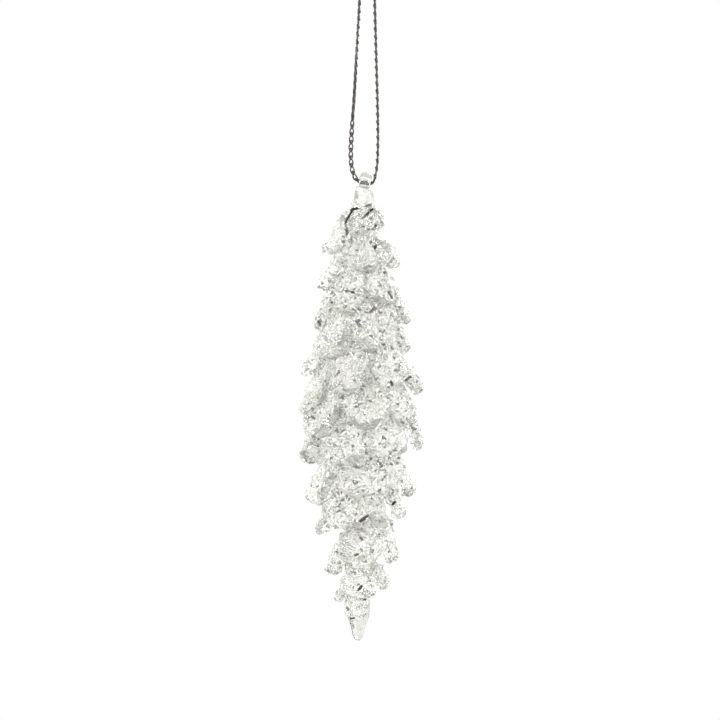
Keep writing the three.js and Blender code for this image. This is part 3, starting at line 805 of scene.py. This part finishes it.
def eye_ring():
    """The ring of glass round the cord's hole, tilted in the x-z plane."""
    turns, sides = 44, 24
    turn, side = np.meshgrid(2 * math.pi * np.arange(turns) / turns,
                             2 * math.pi * np.arange(sides) / sides, indexing="ij")
    radius = HOLE_RADIUS + BAND_RADIUS + BAND_RADIUS * np.cos(side) * 0.985
    x = BAND_HALF_WIDTH * np.sin(side) * 0.985 * (1 + 0.06 * np.sin(turn + 0.6))
    x, y, z = x.ravel(), (radius * np.cos(turn)).ravel(), (radius * np.sin(turn)).ravel()
    cos, sin = math.cos(EYE_TILT), math.sin(EYE_TILT)
    verts = np.c_[x * cos + z * sin, y, -x * sin + z * cos - HOLE_DROP]
    quads = grid_quads(turns, sides, wrap_rows=True)[:, [0, 3, 2, 1]]
    if points_inward(verts, quads[:, :3]):
        quads = quads[:, ::-1]
    return verts, quads


def eye_saddle():
    """A flat, tilted ellipsoid where the ring meets the neck."""
    rows, cols = 19, 36
    fall, turn = np.meshgrid(np.linspace(0, math.pi, rows + 2)[1:-1],
                             2 * math.pi * np.arange(cols) / cols, indexing="ij")
    verts = np.stack([2.6 * np.sin(fall) * np.cos(turn), 3.45 * np.sin(fall) * np.sin(turn),
                      1.15 * np.cos(fall)], -1).reshape(-1, 3)
    verts[:, 2] += -3.05 - math.tan(EYE_TILT) * verts[:, 0]
    verts = np.vstack([verts, [0, 0, -1.9], [0, 0, -4.2]])
    quads = grid_quads(rows, cols)[:, [0, 3, 2, 1]]
    k = np.arange(cols)
    after, last, top = (k + 1) % cols, (rows - 1) * cols, rows * cols
    caps = np.vstack([np.stack([np.full(cols, top), k, after], -1),
                      np.stack([np.full(cols, top + 1), last + after, last + k], -1)])
    return verts, quads, caps


def fuse(piece):
    """Melt the overlapping shells of an object into one smooth surface."""
    remesh = piece.modifiers.new("remesh", "REMESH")
    remesh.mode = "VOXEL"
    remesh.voxel_size = 0.00024  # metres
    relax = piece.modifiers.new("smooth", "SMOOTH")
    relax.factor, relax.iterations = 0.5, 24
    depsgraph = bpy.context.evaluated_depsgraph_get()
    mesh = bpy.data.meshes.new_from_object(piece.evaluated_get(depsgraph))
    piece.modifiers.clear()
    piece.data = mesh
    return mesh


def read_vectors(vertices, field):
    values = np.zeros(len(vertices) * 3)
    vertices.foreach_get(field, values)
    return values.reshape(-1, 3)


def rod_surface(mesh):
    """Unevenness, crushed glass and clefts on the fused rod, and the attributes for its glass."""
    points, normals = read_vectors(mesh.vertices, "co") * 1000, read_vectors(mesh.vertices, "normal")
    points[:, 2] -= SHIFT
    x, y, z = points.T
    rng = np.random.default_rng(3)
    slow = waves(rng, 8, 3, 0.5, 1.3)
    edge = waves(rng, 5, 2, 0.5, 1.2)
    # The crushed glass ends in an uneven line at the neck and above the drip.
    turn = np.arctan2(y, x)
    level = z + 0.8 * edge(np.cos(turn) * 3, np.sin(turn) * 3)
    cover = ease(-7.0, -8.4, level) * ease(-134.4, -132.4, level - 0.85 * x)
    # The bore of the eye stays true.
    away = np.hypot(y, z + HOLE_DROP)
    uneven = np.where(z > -3.2, ease(HOLE_RADIUS + 0.25, HOLE_RADIUS + 1.0, away), 1)
    rise, crease = crushed(points, normals, rng)
    lumps = np.maximum(slow(x * 1.9, y * 1.9, z * 1.3), 0) * ease(-1.5, -3.5, z)
    swell = (0.1 * slow(x, y, z) + 0.12 * lumps) * uneven
    points = points + normals * (swell + (rise - CRUSHED_SINK) * cover)[:, None]
    points, cleft, deep = cut_clefts(points, normals, depth=0.25)
    # The clear ends hold clouds of fine bubbles.
    x, y, z = points.T
    cloud = ease(-0.4, 1.1, waves(rng, 9, 3, 0.9, 2.6)(x, y, 0.55 * z))
    cloudiness = np.where(z > -20, 0.5 * ease(-1.0, -4.5, z) + 0.1, 0.08)
    frit = np.maximum(cover, cloud * cloudiness)
    frit = np.maximum(frit, 0.3 * (1 - ease(1.0, 1.9, np.abs(z + 0.1))))
    points[:, 2] += SHIFT
    mesh.vertices.foreach_set("co", (points * 0.001).ravel())
    set_attributes(mesh, {"frit": frit, "crease": crease * cover, "cleft": cleft,
                          "cleft_shade_darkness": deep, "grey": 0 * cover})


def rod_piece():
    body, body_quads, body_caps = rod_body()
    ring, ring_quads = eye_ring()
    saddle, saddle_quads, saddle_caps = eye_saddle()
    ring_start = len(body)
    saddle_start = ring_start + len(ring)
    quads = np.vstack([body_quads, ring_quads + ring_start, saddle_quads + saddle_start])
    caps = np.vstack([body_caps, saddle_caps + saddle_start])
    verts = np.vstack([body, ring, saddle])
    piece = new_object("glass_rod_with_eye", verts, [quads, caps], GLASS_CLEAR)
    mesh = fuse(piece)
    rod_surface(mesh)
    mesh.update()
    mesh.shade_smooth()
    mesh.set_sharp_from_angle(angle=SHARP_ANGLE)
    if not mesh.materials:  # in case the remesh dropped it
        mesh.materials.append(GLASS_CLEAR)
    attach(piece, "icicle")
    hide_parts("hanging_eye", "core_rod", "drip_tip")


rod_piece()


# ---------------------------------------------------------------- yarn and stitches
STITCH_PITCH, STITCH_LENGTH = 2.4, 3.55
FILLING_RADIUS = 0.3
YARN_RNG = np.random.default_rng(11)  # shared by all stitches, in the order they are made


def arc_lengths(points):
    return np.r_[0, np.cumsum(np.linalg.norm(np.diff(points, axis=0), axis=1))]


def spline(points, step=0.15):
    """Centripetal Catmull-Rom line through the points, as points a step apart."""
    points = np.asarray(points, float)
    points = np.vstack([2 * points[0] - points[1], points, 2 * points[-1] - points[-2]])

    def blend(start, end, from_t, to_t, t):
        return (to_t - t) / (to_t - from_t) * start + (t - from_t) / (to_t - from_t) * end

    line = []
    for i in range(1, len(points) - 2):
        four = points[i - 1 : i + 3]
        knots = [0]
        for k in range(3):
            gap = np.linalg.norm(four[k + 1] - four[k])
            knots.append(knots[-1] + max(gap, 1e-6) ** 0.5)
        for t in np.linspace(knots[1], knots[2], 24, endpoint=False):
            chords = [blend(four[k], four[k + 1], knots[k], knots[k + 1], t) for k in range(3)]
            curves = [blend(chords[k], chords[k + 1], knots[k], knots[k + 2], t)
                      for k in range(2)]
            line.append(blend(*curves, knots[1], knots[2], t))
    line.append(points[-2])
    line = np.array(line)
    lengths = arc_lengths(line)
    stations = np.arange(0, lengths[-1], step)
    return np.stack([np.interp(stations, lengths, line[:, k]) for k in range(3)], -1)


def unit_rows(vectors):
    return vectors / np.linalg.norm(vectors, axis=1)[:, None]


def carried_normals(tangents, first):
    """A normal carried along a line without twisting."""
    normal = np.array(first, float)
    normals = []
    for tangent in tangents:
        normal = normal - tangent * (normal @ tangent)
        normal = normal / np.linalg.norm(normal)
        normals.append(normal)
    return np.array(normals)


class Line:
    """A line with a frame carried along it, read by the length along it."""

    def __init__(self, points):
        self.points = np.asarray(points, float)
        self.tangents = unit_rows(np.gradient(self.points, axis=0))
        self.lengths = arc_lengths(self.points)
        self.normals = carried_normals(self.tangents, (0, 1, 0))
        self.sides = np.cross(self.tangents, self.normals)

    def at(self, lengths):
        """Points, normals and sides; past either end the line goes straight on."""
        lengths = np.asarray(lengths, float)
        end = self.lengths[-1]
        over = np.where(lengths < 0, lengths, np.where(lengths > end, lengths - end, 0))
        point, tangent, normal, side = (
            np.stack([np.interp(lengths, self.lengths, table[:, i]) for i in range(3)], -1)
            for table in (self.points, self.tangents, self.normals, self.sides))
        return point + tangent * over[..., None], normal, side


def tube(points, radius, sides, closed, first_v=0.0):
    """A round tube as verts, faces, and its u and v: round the yarn and along it."""
    points = np.asarray(points, float)
    count = len(points)
    radius = np.broadcast_to(np.asarray(radius, float), (count,))
    if closed:
        steps = np.roll(points, -1, 0) - np.roll(points, 1, 0)
    else:
        steps = np.gradient(points, axis=0)
    tangents = unit_rows(steps)
    normals = carried_normals(tangents, (0.37, 0.81, 0.46))
    if closed:  # spread the leftover turn along the loop
        end = normals[-1] - tangents[0] * (normals[-1] @ tangents[0])
        end /= np.linalg.norm(end)
        turn = math.atan2(np.cross(end, normals[0]) @ tangents[0], end @ normals[0])
        turns = (np.arange(count) / count * turn)[:, None]
        normals = normals * np.cos(turns) + np.cross(tangents, normals) * np.sin(turns)
    binormals = np.cross(tangents, normals)
    angle = np.linspace(0, 2 * math.pi, sides, endpoint=False)[None, :, None]
    spokes = np.cos(angle) * normals[:, None] + np.sin(angle) * binormals[:, None]
    verts = (points[:, None] + radius[:, None, None] * spokes).reshape(-1, 3)
    faces = [grid_quads(count, sides, wrap_rows=closed)]
    if not closed:
        rim = np.arange(sides)
        faces.append(np.array([rim[::-1], (count - 1) * sides + rim]))
    around = np.tile(np.abs(np.linspace(-1, 1, sides, endpoint=False)), count)
    return verts, faces, around, np.repeat(arc_lengths(points) + first_v, sides)


def join(*parts):
    verts, faces, around, along = zip(*parts)
    starts = np.cumsum([0] + [len(v) for v in verts[:-1]])
    faces = [f + start for group, start in zip(faces, starts) for f in group]
    return np.vstack(verts), faces, np.concatenate(around), np.concatenate(along)


def all_tight(length):
    return 0.0 * np.asarray(length)


def chain(line, start, end, turn_at, open_at=all_tight, phase=0.0):
    """Chain stitches along a line: teardrop loops of yarn, each with its narrow foot coming up
    through the round head of the one before. turn_at gives their turn about the line, open_at
    1 where they stand open and 0 where they are pulled tight."""
    parts = []
    first = math.ceil((start - phase) / STITCH_PITCH)
    last = math.floor((end - phase) / STITCH_PITCH - 1e-9)
    angle = np.linspace(0, 2 * math.pi, 30, endpoint=False)
    rise = 0.5 - 0.5 * np.cos(angle)  # from the foot, 0, to the head, 1
    for k in range(first, last + 1):
        middle = phase + k * STITCH_PITCH
        opening = float(open_at(middle))
        width = 0.29 + (0.57 - 0.29) * opening + YARN_RNG.uniform(-0.02, 0.02)
        radius = 0.24 + (0.235 - 0.24) * opening
        depth = 0.31 + (0.16 - 0.31) * opening
        foot = 0.42 - 0.12 * opening  # width of the foot, as a share of the head's
        widening = ease(0.05 + 0.12 * opening, 0.5 + 0.1 * opening, rise)
        x = (width * np.sin(angle) * (foot + (1 - foot) * widening))[:, None]
        y = (depth * (2 * rise - 1) + 0.07 * np.cos(2 * angle))[:, None]
        lengths = middle + (rise - 0.5) * STITCH_LENGTH
        point, normal, side = line.at(lengths)
        turn = (turn_at(lengths) + YARN_RNG.uniform(-0.08, 0.08))[:, None]
        turned_normal = normal * np.cos(turn) + side * np.sin(turn)
        turned_side = -normal * np.sin(turn) + side * np.cos(turn)
        loop = point + x * turned_side + y * turned_normal
        parts.append(tube(loop, radius, sides=8, closed=True, first_v=k * 7.3))
    # Where the stitches are tight a filling yarn shows between them.
    lengths = np.arange(start + 0.05, end - 0.05, 0.25)
    radii = FILLING_RADIUS * (1 - ease(0.05, 0.6, open_at(lengths)))
    shown = radii > 0.06
    if shown.sum() > 4:
        parts.append(tube(line.at(lengths[shown])[0], radii[shown], sides=10, closed=False))
    return join(*parts)


def cord_object(name, data, *replaced):
    verts, faces, around, along = data
    piece = new_object(name, verts, faces, YARN, {"yarn_u": around, "yarn_v": along})
    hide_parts(*replaced)
    return piece


# ---------------------------------------------------------------- the loop of cord
def in_eye(along):
    """A point on the tilted axis of the eye."""
    return [along * math.cos(EYE_TILT), 0, -along * math.sin(EYE_TILT)]


def crown_arc(start, end):
    """Points round the top bend, between two angles in degrees from +x."""
    return [[CROWN_RADIUS * math.cos(a), 0, HOOK_Z + CROWN_RADIUS * math.sin(a)]
            for a in np.radians(np.linspace(start, end, 9))]


# Stations of the cord: x, y, z. Both sides run down, the part through the eye from left to right.
LEFT_SIDE = [
    [-CROWN_RADIUS, 0, HOOK_Z], [-2.05, 0, 64.5], [-2.3, 0, 56], [-2.95, 0, 41.1],
    [-3.57, 0, 26.2], [-4.0, 0, 18.75], [-4.3, 0, TWIST_Z],
]
RIGHT_SIDE = [
    [CROWN_RADIUS, 0, HOOK_Z], [2.05, 0, 64.5], [2.38, 0, 56], [3.0, 0, 41.1],
    [3.62, 0, 26.2], [3.88, 0, 18.75], [4.02, 0, TWIST_Z],
]
THROUGH_EYE = [
    [-4.36, 0, 9.2], [-4.25, 0, 6.4], [-3.92, 0, 3.9], [-3.3, 0, 2.1],
    in_eye(-2.45), in_eye(-1.2), in_eye(0), in_eye(1.2), in_eye(2.3),
    [2.95, 0, 0.35], [3.35, 0, 2.0], [3.72, 0, 4.0], [3.93, 0, 6.4], [3.98, 0, 9.0],
]
loop = Line(spline(crown_arc(90, 178) + LEFT_SIDE + THROUGH_EYE + RIGHT_SIDE[::-1]
                   + crown_arc(2, 90)))
loop_x, loop_z = loop.points[:, 0], loop.points[:, 2]
eye_index = int(np.argmin(np.abs(loop_x) + (loop_z > 5) * 99))
eye_s = loop.lengths[eye_index]
end_s = loop.lengths[-1]


def s_at(z, left):
    """Length along the cord at which one side of the loop passes height z."""
    side = slice(0, eye_index) if left else slice(eye_index, None)
    miss = np.abs(loop_z[side] - z) + (np.abs(loop_x[side]) < 1.2) * 99
    return loop.lengths[side][int(np.argmin(miss))]


# Turn of the stitches about the cord, in degrees, by length along the loop.
TURNS = [
    (0, 150), (s_at(70, True), 140), (s_at(45, True), 95), (s_at(24, True), 14),
    (s_at(4, True), -6), (eye_s, 60), (s_at(4, False), 92), (s_at(30, False), 78),
    (s_at(60, False), 110), (end_s, 150),
]
TURN_LENGTHS = [length for length, _ in TURNS]
TURN_ANGLES = np.radians([angle for _, angle in TURNS])
# The stitches stand open between the lower left of the loop and the eye.
OPEN_LENGTHS = (s_at(21.5, True), s_at(16, True), s_at(1.5, True), eye_s - 1)


def loop_chain(start, end, **options):
    return chain(loop, start, end, lambda s: np.interp(s, TURN_LENGTHS, TURN_ANGLES), **options)


def opened(length):
    return np.interp(length, OPEN_LENGTHS, (0, 1, 1, 0))


def eye_bunch():
    """The stitches are bunched up in the eye and fill most of its bore."""
    lengths = np.arange(eye_s - 2.4, eye_s + 2.4, 0.12)
    away = lengths - eye_s
    sag = 0.24 * ease(2.3, 1.2, np.abs(away))
    points = loop.at(lengths)[0] - np.array([0, 0, 1]) * sag[:, None]
    taper = np.sqrt(np.clip(1 - (away / 2.45) ** 2, 0.02, 1)) ** 0.6
    radius = 0.755 * taper * (1 + 0.06 * np.sin(lengths * 5.2))
    verts, *rest = tube(points, radius, sides=18, closed=False)
    # An upright oval, so that the ring can nod round it.
    return verts * np.array([1, 0.6, 1]), *rest


# Where the loop is cut into objects: at the top bend, part way down and above the eye.
CUT_Z = 62
bend_s = CROWN_RADIUS * math.radians(38)
left_cuts = (bend_s, s_at(CUT_Z, True), s_at(TWIST_Z - 1, True))
right_cuts = (end_s - bend_s, s_at(CUT_Z, False), s_at(TWIST_Z - 1, False))

top_bend = join(loop_chain(0, left_cuts[0]), loop_chain(right_cuts[0], end_s + 0.01))
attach(cord_object("cord_top_bend", top_bend, "cord_crown"), "hanger")
for side, (top, middle, bottom) in (("left", left_cuts), ("right", right_cuts)):
    replaced = f"cord_strand_{side}"
    upper = cord_object(f"cord_{side}_upper",
                        loop_chain(*sorted((top, middle)), open_at=opened), replaced)
    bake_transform(upper)
    lower = cord_object(f"cord_{side}_lower",
                        loop_chain(*sorted((middle, bottom)), open_at=opened), replaced)
    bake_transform(lower)
through_eye = join(loop_chain(left_cuts[2], right_cuts[2], open_at=opened), eye_bunch())
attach(cord_object("cord_through_eye", through_eye, "cord_bight"), "bight")

# ---------------------------------------------------------------- knot and cord ends
KNOT_Z = HOOK_Z + (CROWN_RADIUS + 0.52) * math.cos(math.radians(20)) + 0.05
TAIL_Z = KNOT_Z + 3.2 + 0.05
# Stations of the two cord ends, upwards: x, y, height above TAIL_Z.
TAILS = {
    "cord_end_left": [(-0.3, -0.1, -1.0), (-0.62, 0, 0.1), (-0.9, 0.1, 2.2), (-1.9, 0.3, 5.4)],
    "cord_end_right": [(0.3, 0.1, -1.0), (0.62, 0, 0.1), (0.95, -0.1, 2.6), (2.3, -0.4, 6.6)],
}


def knot_chain(offset, grow):
    """One end of the cord in an overhand knot above the bend."""
    angle = np.linspace(-0.42, 2 * math.pi + 0.42, 240)
    x = (np.sin(angle) + 1.55 * np.sin(2 * angle)) * 0.52 * grow
    y = -np.sin(3 * angle) * 0.62
    z = (np.cos(angle) - 1.55 * np.cos(2 * angle)) * 0.50 * grow
    line = Line(np.c_[x, y + offset, z + KNOT_Z + 1.62])
    return chain(line, 0, line.lengths[-1], lambda s: np.full(np.shape(s), 0.7))


# Both ends are knotted side by side.
knot = join(knot_chain(offset=-0.33, grow=0.88), knot_chain(offset=0.33, grow=1.0))
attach(cord_object("end_knot_yarn", knot, "end_knot"), "hanger")
for name, stations in TAILS.items():
    line = Line(spline([[x, y, TAIL_Z + z] for x, y, z in stations]))
    tail = chain(line, 0, line.lengths[-1] - 0.6, lambda s: 0.5 + 0.12 * s, phase=0.6)
    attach(cord_object(name + "_yarn", tail, name), "hanger")


# ---------------------------------------------------------------- floor, light, camera (metres)
def floor(radius=1.8, drop=0.16, sides=64):
    """A paper disc below the ornament that looks plain white to the camera."""
    angles = [2 * math.pi * i / sides for i in range(sides)]
    verts = [(0, 0, 0)] + [(radius * math.cos(a), radius * math.sin(a), 0) for a in angles]
    mesh = bpy.data.meshes.new("floor")
    mesh.from_pydata(verts, [], [(0, 1 + i, 1 + (i + 1) % sides) for i in range(sides)])
    piece = bpy.data.objects.new("floor", mesh)
    piece.location = (0, 0, cad_lo.z - drop)
    scene.collection.objects.link(piece)
    material = bpy.data.materials.new("floor_paper")
    tree = Tree(material)
    seen = tree.add("LightPath").outputs["Is Camera Ray"]
    white = tree.add("Emission", {"Strength": 1.0})
    glow = tree.add("Emission", {"Color": (0.8, 0.8, 0.78), "Strength": 0.75})
    paper = tree.add("BsdfDiffuse", {"Color": (0.85, 0.85, 0.84)})
    lit = tree.add("MixShader", {0: 0.35, 1: glow.outputs[0], 2: paper.outputs[0]})
    shown = tree.add("MixShader", {0: seen, 1: lit.outputs[0], 2: white.outputs[0]})
    tree.feed(tree.surface, shown.outputs[0])
    mesh.materials.append(material)


def area_light(name, x, y, rise, size, power):
    """A square light, aimed at the middle of the ornament and a rise above it."""
    target = Vector((0, 0, frame_z(-60)))
    light = bpy.data.lights.new(name, "AREA")
    light.shape, light.size, light.energy = "SQUARE", size, power
    piece = bpy.data.objects.new(name, light)
    place = Vector((x, y, frame_z(-60) + rise))
    piece.location = place
    piece.rotation_mode = "QUATERNION"
    piece.rotation_quaternion = (target - place).to_track_quat("-Z", "Y")
    piece.visible_camera = False
    scene.collection.objects.link(piece)


def studio():
    """A world that is white to the camera and otherwise varies along the camera's axis."""
    world = bpy.data.worlds.new("studio")
    scene.world = world
    tree = Tree(world, "OutputWorld")
    coords = tree.add("TexCoord").outputs["Camera"]
    axial = tree.add("SeparateXYZ", {0: coords}).outputs["Z"]
    greys = [(place, (grey, grey, grey * 0.98))
             for place, grey in ((0.3, 1.1), (0.5, 1.38), (0.65, 1.55), (0.8, 1.46))]
    tone = tree.ramp(tree.remap(axial, -1, 1, 0, 1), (0.0, (0.9, 0.9, 0.88)), *greys,
                     (1.0, (1.34, 1.34, 1.315)))
    seen = tree.add("LightPath").outputs["Is Camera Ray"]
    background = tree.add("Background", {"Color": tree.mix(seen, tone, (1, 1, 1))})
    tree.feed(tree.surface, background.outputs[0])


def front_camera():
    data = bpy.data.cameras.new("camera")
    data.sensor_width = 36
    data.lens = data.sensor_width * CAMERA_DISTANCE / VIEW_WIDTH
    data.clip_start, data.clip_end = 0.01, 50
    camera = bpy.data.objects.new("camera", data)
    camera.location = (CAMERA_X * 0.001, -CAMERA_DISTANCE * 0.001, frame_z(CAMERA_Z))
    camera.rotation_mode = "QUATERNION"
    look = Vector((0, 1, 0)).to_track_quat("-Z", "Y")
    roll = Matrix.Rotation(math.radians(0.81), 4, Vector((0, -1, 0))).to_quaternion()
    camera.rotation_quaternion = roll @ look
    scene.collection.objects.link(camera)
    scene.camera = camera


def render_settings():
    scene.view_settings.view_transform = "Standard"
    scene.view_settings.look = "None"
    cycles = scene.cycles
    # Light has to pass through many layers of glass.
    cycles.max_bounces = 28
    cycles.transmission_bounces = 28
    cycles.glossy_bounces = 10
    cycles.diffuse_bounces = 16
    cycles.transparent_max_bounces = 8
    cycles.caustics_reflective = True
    cycles.caustics_refractive = True
    cycles.blur_glossy = 0.0
    cycles.sample_clamp_indirect = 4.0
    cycles.use_denoising = True
    cycles.seed = 1
    cycles.use_adaptive_sampling = False


floor()
area_light("key_left", x=-0.7, y=-0.75, rise=0.75, size=0.35, power=10.5)
area_light("fill_right", x=0.95, y=-0.4, rise=0.25, size=0.35, power=6.0)
area_light("rim_back", x=0.35, y=0.9, rise=0.5, size=0.4, power=8.0)
studio()
front_camera()
render_settings()
